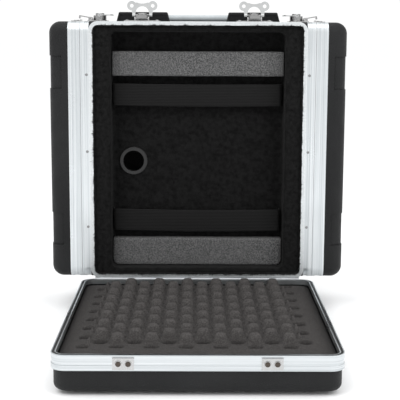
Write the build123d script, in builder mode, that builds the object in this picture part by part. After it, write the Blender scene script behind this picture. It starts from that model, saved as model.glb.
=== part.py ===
import os
from math import atan, cos, degrees, radians, sin

from build123d import *

# Moulded rack case for two rack units, with a laptop well under a hinged lid.
# It stands upright on casters, and the lid lies open on the floor in front.
# X runs across, from one end cover to the other. Y runs away from the viewer, Z up.
# The origin is on the floor, under the middle of the whole outline.

# Overall sizes
case_height = 546.0
sleeve_length = 494.0
body_depth = 172.0
cover_length = 66.5
lid_thickness = 66.0
lid_foot = 6.5

# Running gaps and soft clearances
seam_gap = 0.6
rim_gap = 0.3
fit_gap = 0.3
pin_play = 0.08
overlap = 1.0
least_corner = 1.0

# Moulded shells
shell_wall = 5.0
cover_wall = 6.5
lid_wall = 5.0
outline_corner = 22.0
dome_inset = 0.5
lid_inset = 3.5
cover_edge_round = 24.0
lid_edge_round = 12.0
lid_corner = 26.0
notch_deep = 3.0
notch_end_deep = 1.2
notch_tall = 69.0
notch_reach = 27.0
notch_from_middle = 167.0
rib_high = 2.0
rib_wide = 9.0
rib_pitch = 52.0
rib_count = 7
rib_end = 40.0
foot_long = 400.0
foot_wide = 16.0
foot_pitch = 100.0
foot_count = 5

# Extruded aluminium edging
edging_wall = 2.0
edging_lip = 9.0
body_edging = 18.0
cover_edging = 25.0
lid_edging = 27.0
groove_deep = 0.9
body_band = 7.5
cover_band = 10.0
lid_band = 9.0
frame_width = 458.0
frame_wall = 8.0
frame_deep = 24.0
frame_proud = 1.0
frame_corner = 19.0
frame_groove = 2.0
frame_split_up = 252.0
frame_split = 0.5
rivet_radius = 2.8
rivet_high = 1.6
rivet_from_seam = 13.0
rivet_pitch = 162.0
rivet_end = 8.0

# Lid rim channel and seal
channel_wall = 2.0
channel_gap = 4.5
channel_deep = 8.0
channel_floor = 1.5
seal_below_rim = 1.5

# Piano hinge of the lid
hinge_radius = 2.5
hinge_pin_radius = 1.0
rim_drop = 2.0
hinge_leaf = 1.4
hinge_leaf_wide = 18.0
hinge_length = 440.0
knuckle_count = 11
knuckle_gap = 0.5

# Laptop well
well_deep = 64.0
tray_board = 4.0
lining_back = 8.0
lining_set_back = 1.0
recess_width = 368.0
recess_inset = 21.0
recess_corner = 12.0
cable_from_side = 45.0
cable_up = 247.0
grommet_bore = 22.5
grommet_wall = 2.0
grommet_flange = 6.0
grommet_lip = 2.5
pad_thick = 26.0
pad_corner = 2.0
pad_height = 53.0
upper_pad_down = 115.0
lower_pad_height = 60.0
strap_width = 47.0
strap_thick = 2.0
strap_rise = 20.0
strap_bend = 7.0
strap_left_gap = 3.0
strap_right_gap = 6.0
upper_strap_down = 177.5
lower_strap_up = 98.0

# Rack bay and its rails
rack_unit = 44.45
rack_units = 2
rack_opening = 450.0
rack_hole_span = 465.1
rack_hole_radius = 2.4
rack_hole_first = 6.35
rack_hole_step = 15.875
rail_thick = 2.0
rail_leg = 25.0
rail_set_in = 30.0
rail_corner_ease = 1.0

# Egg-crate foam in the lid
foam_border_drop = 24.0
foam_plateau_drop = 18.0
foam_plateau_width = 366.0
foam_plateau_inset = 30.0
bump_pitch = 60.0
bump_radius = 14.5
bump_top_radius = 9.5
bump_high = 28.0
bump_columns = 6
bump_rows = 15
bump_row_step = 29.3
bump_shift_x = -5.0
bump_shift_y = 29.5
bump_sides = 6

# Twist latches
latch_x = 118.0
latch_rim_reach = 30.0
latch_plate_wide = 76.0
latch_plate_back = 23.0
latch_plate_front = 18.0
latch_plate = 2.0
latch_plate_corner = 6.0
rotor_back = 6.0
rotor_radius = 14.0
rotor_top = 12.5
hub_radius = 9.5
hub_top = 17.5
hub_chamfer = 1.0
rotor_shaft = 5.0
rotor_lift = 0.3
fold_up = 13.5
cross_pin = 1.5
eye_radius = 3.2
key_thick = 2.0
key_leg_in = 14.6
key_leg_out = 21.0
key_lobe_x = 22.0
key_lobe_up = 19.0
key_lobe = 9.8
key_hole = 3.9
key_web_top = 25.5
key_arch = 14.0
key_arch_up = 4.0
key_dip = 30.0
key_dip_deep = 2.0
hook_pivot = 14.0
hook_pivot_up = 5.5
hook_half_width = 11.0
hook_thick = 2.0
hook_tip_up = 2.0
hook_claw = 2.5
hook_raise = 10.0
ear_in = 13.2
ear_thick = 2.0
ear_half = 4.0
plate_rivet_x = 31.0
plate_rivet_y = 10.0
plate_rivet = 3.0
plate_rivet_high = 1.5
catch_wide = 36.0
catch_x = 124.0
catch_tall = 21.0
catch_plate = 1.5
catch_from_rim = 4.0
catch_lip = 1.5
catch_lip_high = 4.0
catch_claw_gap = 0.5
catch_rivet = 5.5
catch_rivet_high = 1.3
catch_rivet_span = 16.6
catch_rivet_down = 14.5

# Bumper blocks on the top
boss_width = 115.0
boss_high = 20.0
boss_deep = 30.0
boss_slope = 75.0
boss_back = 70.0
boss_round = 3.0
boss_rim = 6.0
boss_recess = 1.5

# Carrying handle
handle_x = 88.0
handle_pivot_back = 120.0
handle_pivot_up = 8.0
handle_arm = 38.0
handle_arm_radius = 4.0
handle_pin = 3.0
grip_radius = 7.0
grip_length = 150.0
bracket_wide = 12.0
bracket_long = 22.0
bracket_slope = 75.0
bracket_wall = 3.0

# Casters
wheel_radius = 25.0
wheel_width = 20.0
wheel_tread_round = 4.0
axle_radius = 4.0
hub_gap = 0.8
caster_x = 140.0
caster_front = 46.0
caster_rear = 138.0
caster_plate_long = 60.0
caster_plate_wide = 45.0
caster_plate = 2.5
caster_plate_corner = 4.0
fork_thick = 2.5
fork_reach = 16.0
fork_round = 9.0

# Places that follow from the sizes
rim_z = lid_thickness + lid_foot
base_z = rim_z + rim_drop
top_z = base_z + case_height
mid_z = base_z + case_height / 2
pin_set = frame_proud + rim_gap + hinge_radius - rim_drop
lid_set = pin_set + hinge_radius
front_y = (case_height + lid_set - body_depth) / 2
back_y = front_y + body_depth
mid_y = front_y + body_depth / 2
pin_y = front_y - pin_set
pin_z = base_z - hinge_radius
lid_back_y = front_y - lid_set
lid_mid_y = lid_back_y - case_height / 2
lid_front_y = lid_back_y - case_height
seam_x = sleeve_length / 2
cover_rim_x = seam_x + seam_gap
dome_x = cover_rim_x + cover_edging
cover_end_x = seam_x + cover_length
inner_wall = edging_wall + shell_wall
divider_y = front_y + well_deep
bay_height = case_height - 2 * inner_wall
opening_width = frame_width - 2 * frame_wall
opening_height = case_height - 2 * frame_wall
lining_floor_y = divider_y - lining_back
cable_x = cable_from_side - recess_width / 2
strap_left = strap_left_gap - recess_width / 2
strap_right = recess_width / 2 - strap_right_gap
upper_pad_up = case_height - upper_pad_down
upper_strap_up = case_height - upper_strap_down


def across(x):
    """A plane square to X, centred on the body's section."""
    return Plane(origin=(x, mid_y, mid_z), x_dir=(0, 1, 0), z_dir=(1, 0, 0))


def facing(y):
    """A plane that faces the viewer, centred on the body's front."""
    return Plane(origin=(0, y, mid_z), x_dir=(1, 0, 0), z_dir=(0, -1, 0))


def lid_level(z):
    """A level plane centred on the open lid."""
    return Plane(origin=(0, lid_mid_y, z))


def write(builder, name):
    """Labels a finished piece and writes it to its own file."""
    builder.part.label = name
    export_step(builder.part, f"parts/{name}.step")


def dome(place, wide, tall, deep, corner, edge):
    """A solid tray form standing on a plane, with its far edge rounded."""
    with BuildPart() as form:
        with BuildSketch(place):
            RectangleRounded(wide, tall, corner)
        extrude(amount=deep)
        far = form.faces().sort_by(Axis(place.origin, place.z_dir))[-1]
        fillet(far.edges(), edge)
    return form.part


def ring(place, wide, tall, corner, outer, inner, deep):
    """A rounded frame between two insets of one outline, extruded from its plane."""
    with BuildPart() as form:
        with BuildSketch(place):
            RectangleRounded(
                wide - 2 * outer, tall - 2 * outer, max(corner - outer, least_corner)
            )
            RectangleRounded(
                wide - 2 * inner,
                tall - 2 * inner,
                max(corner - inner, least_corner),
                mode=Mode.SUBTRACT,
            )
        extrude(amount=deep)
    return form.part


os.makedirs("parts", exist_ok=True)

# Body shell: a moulded sleeve, open at both ends and cut away for the lid frame
skirt_x = seam_x - edging_wall
panel_x = seam_x - body_edging - fit_gap
with BuildPart() as body_shell:
    with BuildSketch(across(-skirt_x)):
        RectangleRounded(
            body_depth - 2 * edging_wall,
            case_height - 2 * edging_wall,
            outline_corner - edging_wall,
        )
    extrude(amount=2 * skirt_x)
    with BuildSketch(across(-panel_x)):
        RectangleRounded(body_depth, case_height, outline_corner)
    extrude(amount=2 * panel_x)
    with BuildSketch(Plane(origin=(0, back_y, mid_z), x_dir=(1, 0, 0), z_dir=(0, 1, 0))):
        with GridLocations(rib_pitch, 0, rib_count, 1):
            SlotOverall(case_height - 2 * rib_end, rib_wide, rotation=90)
    extrude(amount=-rib_high, mode=Mode.SUBTRACT)
    for side in (-1, 1):
        boss_plane = Plane(
            origin=(side * latch_x, front_y + boss_back, top_z - overlap),
            x_dir=(1, 0, 0),
            z_dir=(0, -1, 0),
        )
        with BuildSketch(boss_plane):
            Trapezoid(
                boss_width,
                boss_high + overlap,
                boss_slope,
                align=(Align.CENTER, Align.MIN),
            )
        extrude(amount=-boss_deep)
    boss_edges = body_shell.edges().filter_by_position(
        Axis.Z, top_z + overlap, top_z + boss_high + overlap
    )
    fillet(boss_edges, boss_round)
    for side in (-1, 1):
        with BuildSketch(
            Plane(
                origin=(side * latch_x, front_y + boss_back, top_z + boss_rim),
                x_dir=(1, 0, 0),
                z_dir=(0, -1, 0),
            )
        ):
            Trapezoid(
                boss_width - 2 * boss_rim,
                boss_high - 2 * boss_rim,
                boss_slope,
                align=(Align.CENTER, Align.MIN),
            )
        extrude(amount=-boss_recess, mode=Mode.SUBTRACT)
    with BuildSketch(across(-skirt_x)):
        RectangleRounded(
            body_depth - 2 * inner_wall,
            bay_height,
            outline_corner - inner_wall,
        )
    extrude(amount=2 * skirt_x, mode=Mode.SUBTRACT)
    with BuildSketch(facing(front_y - overlap)):
        RectangleRounded(frame_width, case_height, frame_corner)
    extrude(amount=-frame_deep - overlap, mode=Mode.SUBTRACT)
write(body_shell, "body_shell")

# Lid frame: a deep rounded extrusion round the well's mouth, butted at one side
with BuildPart() as lid_frame:
    with BuildSketch(facing(front_y - frame_proud)):
        RectangleRounded(frame_width, case_height, frame_corner)
        RectangleRounded(
            opening_width,
            opening_height,
            frame_corner - frame_wall,
            mode=Mode.SUBTRACT,
        )
    extrude(amount=-frame_deep - frame_proud)
    groove_at = frame_wall / 2 - frame_groove / 2
    with BuildSketch(facing(front_y - frame_proud)):
        RectangleRounded(
            frame_width - 2 * groove_at,
            case_height - 2 * groove_at,
            frame_corner - groove_at,
        )
        RectangleRounded(
            frame_width - 2 * groove_at - 2 * frame_groove,
            case_height - 2 * groove_at - 2 * frame_groove,
            frame_corner - groove_at - frame_groove,
            mode=Mode.SUBTRACT,
        )
    extrude(amount=-frame_groove / 2, mode=Mode.SUBTRACT)
    with Locations((-frame_width / 2, front_y, base_z + frame_split_up)):
        Box(3 * frame_wall, 3 * frame_deep, frame_split, mode=Mode.SUBTRACT)
write(lid_frame, "lid_frame")

# End edgings of the body, one round each end of the sleeve
for side, name in ((-1, "left"), (1, "right")):
    end = across(side * seam_x)
    with BuildPart() as edging:
        add(ring(end, body_depth, case_height, outline_corner, 0, edging_wall,
                 -side * body_edging))
        add(ring(end, body_depth, case_height, outline_corner, 0, edging_lip,
                 -side * edging_wall))
        band_start = seam_x - rivet_from_seam + body_band / 2
        add(ring(across(side * band_start), body_depth, case_height,
                 outline_corner, 0, groove_deep, -side * body_band),
            mode=Mode.SUBTRACT)
    write(edging, f"{name}_body_edging")

# Rivets of the body edgings, seen down the front and the back
rivet_ups = [rivet_end, case_height - rivet_end]
rivet_ups += [case_height / 2 + step * rivet_pitch for step in (-1, 0, 1)]
rivet_spots = [
    (side * (seam_x - rivet_from_seam), up - case_height / 2)
    for side in (-1, 1)
    for up in rivet_ups
    if outline_corner < up < case_height - outline_corner
]
with BuildPart() as edging_rivets:
    for y, way in ((front_y + groove_deep, 1), (back_y - groove_deep, -1)):
        with BuildSketch(facing(y)):
            with Locations(*rivet_spots):
                Circle(rivet_radius)
        extrude(amount=way * rivet_high)
    chamfer(
        edging_rivets.faces().sort_by(Axis.Y)[: len(rivet_spots)].edges(),
        rivet_high / 2,
    )
write(edging_rivets, "edging_rivets")

# Well tray: the divider board between laptop and rack, with folded ends
tray_half = frame_width / 2 - frame_wall / 2
with BuildPart() as well_tray:
    with BuildSketch(facing(divider_y)):
        Rectangle(2 * tray_half, bay_height)
    extrude(amount=-tray_board)
    with BuildSketch(facing(divider_y)):
        with GridLocations(2 * tray_half - tray_board, 0, 2, 1):
            Rectangle(tray_board, bay_height)
    extrude(amount=well_deep - frame_deep)
    with BuildSketch(facing(divider_y)):
        with Locations((cable_x, base_z + cable_up - mid_z)):
            Circle(grommet_bore + grommet_wall + fit_gap)
    extrude(amount=-tray_board, mode=Mode.SUBTRACT)
    fold_edges = well_tray.edges().filter_by(Axis.Z).group_by(Axis.Y)[-1]
    fillet(fold_edges, tray_board)
write(well_tray, "well_tray")

# Plush lining of the well, thick at both ends, with the laptop's recess in it
with BuildPart() as well_lining:
    with BuildSketch(facing(front_y + lining_set_back)):
        RectangleRounded(
            opening_width - 2 * fit_gap,
            opening_height - 2 * fit_gap,
            frame_corner - frame_wall,
        )
    extrude(amount=-(well_deep - lining_set_back))
    with BuildSketch(facing(front_y + lining_set_back)):
        RectangleRounded(
            recess_width, case_height - 2 * recess_inset, recess_corner
        )
    extrude(
        amount=-(well_deep - lining_back - lining_set_back), mode=Mode.SUBTRACT
    )
    mouth = well_lining.edges().group_by(Axis.Y)[0]
    fillet(mouth, lining_back / 2)
    with BuildSketch(facing(divider_y)):
        with Locations((cable_x, base_z + cable_up - mid_z)):
            Circle(grommet_bore + grommet_wall + fit_gap)
    extrude(amount=lining_back, mode=Mode.SUBTRACT)
write(well_lining, "well_lining")

# Cable grommet through the lining and the divider
with BuildPart() as cable_grommet:
    with BuildSketch(facing(lining_floor_y)):
        with Locations((cable_x, base_z + cable_up - mid_z)):
            Circle(grommet_bore + grommet_wall + grommet_flange)
    extrude(amount=grommet_lip)
    chamfer(cable_grommet.edges().group_by(Axis.Y)[0], grommet_lip / 2)
    with BuildSketch(facing(lining_floor_y)):
        with Locations((cable_x, base_z + cable_up - mid_z)):
            Circle(grommet_bore + grommet_wall)
    extrude(amount=-lining_back - tray_board)
    with BuildSketch(facing(lining_floor_y - grommet_lip)):
        with Locations((cable_x, base_z + cable_up - mid_z)):
            Circle(grommet_bore)
    extrude(
        amount=-lining_back - tray_board - grommet_lip, mode=Mode.SUBTRACT
    )
write(cable_grommet, "cable_grommet")

# Foam pads across the recess, above and below the laptop
pad_width = recess_width - 2 * fit_gap
for name, up, tall, lower_corner in (
    ("upper_foam_pad", upper_pad_up, pad_height, pad_corner),
    ("lower_foam_pad", recess_inset + fit_gap, lower_pad_height, recess_corner),
):
    with BuildPart() as foam_pad:
        with BuildSketch(facing(lining_floor_y)):
            with Locations((0, base_z + up + tall / 2 - mid_z)):
                Rectangle(pad_width, tall)
        extrude(amount=pad_thick)
        fillet(foam_pad.edges().filter_by(Axis.Y).group_by(Axis.Z)[0], lower_corner)
        fillet(foam_pad.edges().group_by(Axis.Y)[0], pad_corner)
    write(foam_pad, name)

# Hold-down straps: flat bands standing off the lining, turned back at their ends
for name, up in (("upper_strap", upper_strap_up), ("lower_strap", lower_strap_up)):
    with BuildPart() as strap:
        with BuildSketch(Plane.XY.offset(base_z + up)):
            with BuildLine():
                FilletPolyline(
                    (strap_left, lining_floor_y),
                    (strap_left, lining_floor_y - strap_rise),
                    (strap_right, lining_floor_y - strap_rise),
                    (strap_right, lining_floor_y),
                    radius=strap_bend,
                )
            trace(line_width=strap_thick)
        extrude(amount=strap_width)
    write(strap, name)

# Rack rails: one upright angle at each corner of both rack openings
rail_face_x = seam_x - rail_set_in
rack_height = rack_unit * rack_units
rail_low_y = (divider_y + tray_board + back_y - inner_wall - rack_height) / 2
rail_flange = (bay_height - rack_opening) / 2
rail_holes = [
    rack_hole_first + unit * rack_unit + step * rack_hole_step
    for unit in range(rack_units)
    for step in range(3)
]
for side, end_name in ((-1, "left"), (1, "right")):
    for level, level_name in ((-1, "lower"), (1, "upper")):
        wall_z = mid_z + level * bay_height / 2
        face_x = side * rail_face_x
        with BuildPart() as rail:
            with BuildSketch(
                Plane(origin=(0, rail_low_y, 0), x_dir=(1, 0, 0), z_dir=(0, -1, 0))
            ):
                with BuildLine():
                    Polyline(
                        (face_x, wall_z),
                        (face_x - side * rail_leg, wall_z),
                        (face_x - side * rail_leg, wall_z - level * rail_thick),
                        (face_x - side * rail_thick, wall_z - level * rail_thick),
                        (face_x - side * rail_thick, wall_z - level * rail_flange),
                        (face_x, wall_z - level * rail_flange),
                        close=True,
                    )
                make_face()
            extrude(amount=-rack_height)
            with BuildSketch(
                Plane(origin=(face_x, rail_low_y, mid_z), x_dir=(0, 1, 0), z_dir=(1, 0, 0))
            ):
                with Locations(
                    *[(along, level * rack_hole_span / 2) for along in rail_holes]
                ):
                    Circle(rack_hole_radius)
            extrude(amount=-side * rail_thick, mode=Mode.SUBTRACT)
            with BuildSketch(across(face_x)):
                RectangleRounded(
                    body_depth - 2 * inner_wall,
                    bay_height,
                    outline_corner - inner_wall + rail_corner_ease,
                )
            extrude(amount=-side * rail_leg, mode=Mode.INTERSECT)
        write(rail, f"{end_name}_{level_name}_rack_rail")


def notched_cover(side):
    """One end cover: a deep rounded cap with a hand-hold notch over each edge."""
    start = across(side * dome_x)
    wide = body_depth - 2 * dome_inset
    tall = case_height - 2 * dome_inset
    dome_deep = cover_end_x - dome_x
    place = Plane(
        origin=start.origin, x_dir=(0, 1, 0), z_dir=(side, 0, 0)
    )
    outside = dome(place, wide, tall, dome_deep, outline_corner, cover_edge_round)
    sunk = dome(
        place,
        wide - 2 * notch_deep,
        tall,
        dome_deep - notch_end_deep,
        outline_corner,
        cover_edge_round,
    )
    with BuildPart() as notches:
        notch_x = side * (cover_end_x - notch_reach / 2)
        for up in (-notch_from_middle, notch_from_middle):
            with Locations((notch_x, mid_y, mid_z + up)):
                Box(notch_reach, 2 * body_depth, notch_tall)
        add(sunk, mode=Mode.SUBTRACT)
    inside_place = Plane(
        origin=(side * cover_rim_x, mid_y, mid_z), x_dir=(0, 1, 0), z_dir=(side, 0, 0)
    )
    hollow = dome(
        inside_place,
        body_depth - 2 * cover_wall,
        case_height - 2 * cover_wall,
        cover_length - seam_gap - cover_wall,
        outline_corner - cover_wall / 2,
        cover_edge_round - cover_wall,
    )
    skirt_inset = edging_wall + fit_gap / 3
    with BuildPart() as shell:
        add(outside)
        add(notches.part, mode=Mode.SUBTRACT)
        with BuildSketch(across(side * dome_x)):
            RectangleRounded(
                body_depth - 2 * skirt_inset,
                case_height - 2 * skirt_inset,
                outline_corner - skirt_inset,
            )
        extrude(amount=-side * (cover_edging - edging_wall - fit_gap / 3))
        add(hollow, mode=Mode.SUBTRACT)
    return shell


def catch(place):
    """A riveted catch plate with a lip for a latch's claw, on a plane at the rim."""
    with BuildPart() as plate:
        with BuildSketch(place):
            with Locations((0, -catch_from_rim - catch_tall / 2)):
                Rectangle(catch_wide, catch_tall)
        extrude(amount=catch_plate)
        with BuildSketch(place):
            with Locations((0, -catch_from_rim - catch_lip / 2)):
                Rectangle(catch_wide, catch_lip)
        extrude(amount=catch_lip_high)
        with BuildSketch(place.offset(catch_plate)):
            with Locations((0, -catch_rivet_down)):
                with GridLocations(catch_rivet_span, 0, 2, 1):
                    Circle(catch_rivet)
        extrude(amount=catch_rivet_high)
    return plate.part


# End covers, each with its edging and two catches
for side, name in ((-1, "left"), (1, "right")):
    write(notched_cover(side), f"{name}_cover_shell")
    rim = across(side * cover_rim_x)
    with BuildPart() as cover_rim:
        add(ring(rim, body_depth, case_height, outline_corner, 0, edging_wall,
                 side * cover_edging))
        add(ring(rim, body_depth, case_height, outline_corner, 0, edging_lip,
                 side * edging_wall))
        band_start = cover_rim_x + (cover_edging - cover_band) / 2
        add(ring(across(side * band_start), body_depth, case_height,
                 outline_corner, 0, groove_deep, side * cover_band),
            mode=Mode.SUBTRACT)
    write(cover_rim, f"{name}_cover_edging")
    with BuildPart() as cover_catches:
        for way, z in ((1, top_z), (-1, base_z)):
            add(
                catch(
                    Plane(
                        origin=(side * cover_rim_x, mid_y, z),
                        x_dir=(0, side * way, 0),
                        z_dir=(0, 0, way),
                    )
                )
            )
    write(cover_catches, f"{name}_cover_catches")

# Lid shell: a moulded tray that lies on the floor
lid_dome_top = rim_z - lid_edging
with BuildPart() as lid_shell:
    add(
        dome(
            Plane(
                origin=(0, lid_mid_y, lid_dome_top), x_dir=(1, 0, 0), z_dir=(0, 0, -1)
            ),
            sleeve_length - 2 * lid_inset,
            case_height - 2 * lid_inset,
            lid_dome_top - lid_foot,
            lid_corner,
            lid_edge_round,
        )
    )
    lid_skirt = edging_wall + fit_gap / 3
    with BuildSketch(lid_level(lid_dome_top)):
        RectangleRounded(
            sleeve_length - 2 * lid_skirt,
            case_height - 2 * lid_skirt,
            lid_corner - lid_skirt,
        )
    extrude(amount=lid_edging - channel_deep - channel_floor - fit_gap / 3)
    lid_inside = edging_wall + lid_wall
    add(
        dome(
            Plane(origin=(0, lid_mid_y, rim_z), x_dir=(1, 0, 0), z_dir=(0, 0, -1)),
            sleeve_length - 2 * lid_inside,
            case_height - 2 * lid_inside,
            lid_thickness - lid_wall,
            lid_corner - lid_inside,
            lid_edge_round - lid_wall,
        ),
        mode=Mode.SUBTRACT,
    )
    with BuildSketch(lid_level(0)):
        with GridLocations(0, foot_pitch, 1, foot_count):
            SlotOverall(foot_long, foot_wide)
    extrude(amount=lid_foot + lid_wall / 2)
write(lid_shell, "lid_shell")

# Lid edging: outer band, rim channel and inner lip in one extrusion
channel_out = edging_wall + channel_gap
channel_in = channel_out + channel_wall
with BuildPart() as lid_rim:
    add(ring(lid_level(rim_z), sleeve_length, case_height, lid_corner, 0,
             edging_wall, -lid_edging))
    add(ring(lid_level(rim_z), sleeve_length, case_height, lid_corner, channel_out,
             channel_in, -channel_deep - channel_floor))
    add(ring(lid_level(rim_z - channel_deep), sleeve_length, case_height, lid_corner,
             0, channel_in, -channel_floor))
    band_z = rim_z - (lid_edging - lid_band) / 2
    add(ring(lid_level(band_z), sleeve_length, case_height, lid_corner, 0,
             groove_deep, -lid_band), mode=Mode.SUBTRACT)
write(lid_rim, "lid_edging")

# Rubber seal lying in the lid's rim channel
with BuildPart() as lid_seal:
    add(ring(lid_level(rim_z - channel_deep), sleeve_length, case_height, lid_corner,
             edging_wall + fit_gap, channel_out - fit_gap,
             channel_deep - seal_below_rim))
write(lid_seal, "lid_seal")

# Egg-crate foam: a slab with bevelled borders and staggered rows of bumps
foam_inset = lid_inside + fit_gap
foam_wide = sleeve_length - 2 * max(foam_inset, channel_in + fit_gap)
foam_long = case_height - 2 * max(foam_inset, channel_in + fit_gap)
foam_low_z = lid_foot + lid_wall + fit_gap
foam_border_z = rim_z - foam_border_drop
foam_plateau_z = rim_z - foam_plateau_drop
bump_taper = degrees(atan((bump_radius - bump_top_radius) / bump_high))
with BuildPart() as lid_foam:
    with BuildSketch(lid_level(foam_low_z)):
        RectangleRounded(foam_wide, foam_long, lid_corner - channel_in)
    extrude(amount=foam_border_z - foam_low_z)
    fillet(lid_foam.edges().group_by(Axis.Z)[0], lid_edge_round - lid_wall)
    with BuildSketch(lid_level(foam_border_z)):
        Rectangle(foam_wide - 2 * fit_gap, foam_long - 2 * lining_back)
    with BuildSketch(lid_level(foam_plateau_z)):
        Rectangle(foam_plateau_width, case_height - 2 * foam_plateau_inset)
    loft()
    for row in range(bump_rows):
        stagger = bump_shift_x + (-1) ** row * bump_pitch / 4
        row_y = bump_shift_y + (row - (bump_rows - 1) / 2) * bump_row_step
        places = [
            (stagger + (column - (bump_columns - 1) / 2) * bump_pitch, row_y)
            for column in range(bump_columns)
        ]
        with BuildSketch(lid_level(foam_plateau_z)):
            with Locations(*places):
                RegularPolygon(bump_radius, bump_sides)
        extrude(amount=bump_high, taper=bump_taper)
write(lid_foam, "lid_foam")

# Lid catches, on the free edge of the lid
with BuildPart() as lid_catches:
    for side in (-1, 1):
        add(
            catch(
                Plane(
                    origin=(side * catch_x, lid_front_y, rim_z),
                    x_dir=(1, 0, 0),
                    z_dir=(0, -1, 0),
                )
            )
        )
write(lid_catches, "lid_catches")

# Piano hinge: knuckles shared out between the body's leaf and the lid's leaf
knuckle_pitch = hinge_length / knuckle_count
for name, first in (("body_hinge_leaf", 0), ("lid_hinge_leaf", 1)):
    knuckles = [
        -hinge_length / 2 + (n + 0.5) * knuckle_pitch
        for n in range(first, knuckle_count, 2)
    ]
    with BuildPart() as leaf:
        for x in knuckles:
            with BuildSketch(
                Plane(
                    origin=(x - (knuckle_pitch - knuckle_gap) / 2, pin_y, pin_z),
                    x_dir=(0, 1, 0),
                    z_dir=(1, 0, 0),
                )
            ):
                Circle(hinge_radius)
                if first:
                    with Locations((-hinge_radius + hinge_leaf / 2, -hinge_radius)):
                        Rectangle(hinge_leaf, 2 * hinge_radius)
                else:
                    with Locations((hinge_radius, hinge_radius - hinge_leaf / 2)):
                        Rectangle(2 * hinge_radius, hinge_leaf)
                Circle(hinge_pin_radius + pin_play, mode=Mode.SUBTRACT)
            extrude(amount=knuckle_pitch - knuckle_gap)
        if first:
            with Locations(
                (
                    0,
                    pin_y - hinge_radius + hinge_leaf / 2,
                    pin_z - hinge_radius - fit_gap - hinge_leaf_wide / 2,
                )
            ):
                Box(hinge_length, hinge_leaf, hinge_leaf_wide)
        else:
            with Locations(
                (
                    0,
                    pin_y + hinge_radius + fit_gap + hinge_leaf_wide / 2,
                    pin_z + hinge_radius - hinge_leaf / 2,
                )
            ):
                Box(hinge_length, hinge_leaf_wide, hinge_leaf)
    write(leaf, name)

with BuildPart() as hinge_pin:
    with BuildSketch(
        Plane(
            origin=(-hinge_length / 2, pin_y, pin_z), x_dir=(0, 1, 0), z_dir=(1, 0, 0)
        )
    ):
        Circle(hinge_pin_radius)
    extrude(amount=hinge_length)
write(hinge_pin, "hinge_pin")


def latch_place(origin, to_rim, outward):
    """A latch's own plane: its Y points at the rim it closes, its Z stands out."""
    return Plane(
        origin=origin,
        x_dir=Vector(*to_rim).cross(Vector(*outward)),
        z_dir=outward,
    )


# Every latch and its plane: two for the lid, one over and one under each end seam
cover_latch_x = cover_rim_x - latch_rim_reach
latches = {}
for side, name in ((-1, "left"), (1, "right")):
    latches[f"{name}_lid"] = latch_place(
        (side * latch_x, front_y - frame_proud - rim_gap + latch_rim_reach, top_z),
        (0, -1, 0),
        (0, 0, 1),
    )
for side, name in ((-1, "left"), (1, "right")):
    for way, level_name, z in ((1, "top", top_z), (-1, "bottom", base_z)):
        latches[f"{name}_{level_name}"] = latch_place(
            (side * cover_latch_x, mid_y, z), (side, 0, 0), (0, 0, way)
        )


def side_plane(place, y, z, turn=0.0):
    """A plane square to a latch's width, at a point of its section, and turned."""
    origin = place.origin + place.y_dir * y + place.z_dir * z
    x_dir = place.y_dir * cos(radians(turn)) + place.z_dir * sin(radians(turn))
    return Plane(origin=origin, x_dir=x_dir, z_dir=place.x_dir)


def latch_base(place):
    """The riveted plate of a latch, with ears for the hook's pivot."""
    plate_mid = (latch_plate_front - latch_plate_back) / 2
    with BuildPart() as base:
        with BuildSketch(place):
            with Locations((0, plate_mid)):
                RectangleRounded(
                    latch_plate_wide,
                    latch_plate_front + latch_plate_back,
                    latch_plate_corner,
                )
        extrude(amount=latch_plate)
        with BuildSketch(place.offset(latch_plate)):
            with GridLocations(2 * plate_rivet_x, 2 * plate_rivet_y, 2, 2):
                Circle(plate_rivet)
        extrude(amount=plate_rivet_high)
        ear_mid = ear_in + ear_thick / 2
        for x in (-ear_mid, ear_mid):
            ear_plane = side_plane(place, hook_pivot, 0).offset(x - ear_thick / 2)
            with BuildSketch(ear_plane):
                with Locations((0, hook_pivot_up / 2)):
                    Rectangle(2 * ear_half, hook_pivot_up)
                with Locations((0, hook_pivot_up)):
                    Circle(ear_half)
                    Circle(cross_pin + pin_play, mode=Mode.SUBTRACT)
            extrude(amount=ear_thick)
        with BuildSketch(place):
            with Locations((0, -rotor_back)):
                Circle(rotor_shaft + pin_play)
        extrude(amount=latch_plate, mode=Mode.SUBTRACT)
    return base.part


def latch_rotor(place):
    """The drum that the key turns, on its shaft, with the key's cross pin."""
    with BuildPart() as rotor:
        with BuildSketch(place.offset(latch_plate + rotor_lift)):
            with Locations((0, -rotor_back)):
                Circle(rotor_radius)
        extrude(amount=rotor_top - latch_plate - rotor_lift)
        with BuildSketch(place.offset(rotor_top)):
            with Locations((0, -rotor_back)):
                Circle(hub_radius)
        extrude(amount=hub_top - rotor_top)
        chamfer(
            rotor.faces().sort_by(Axis(place.origin, place.z_dir))[-1].edges(),
            hub_chamfer,
        )
        with BuildSketch(place.offset(rotor_lift)):
            with Locations((0, -rotor_back)):
                Circle(rotor_shaft)
        extrude(amount=latch_plate)
        with BuildSketch(side_plane(place, -rotor_back, fold_up)):
            Circle(cross_pin)
        extrude(amount=key_leg_out, both=True)
    return rotor


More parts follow.
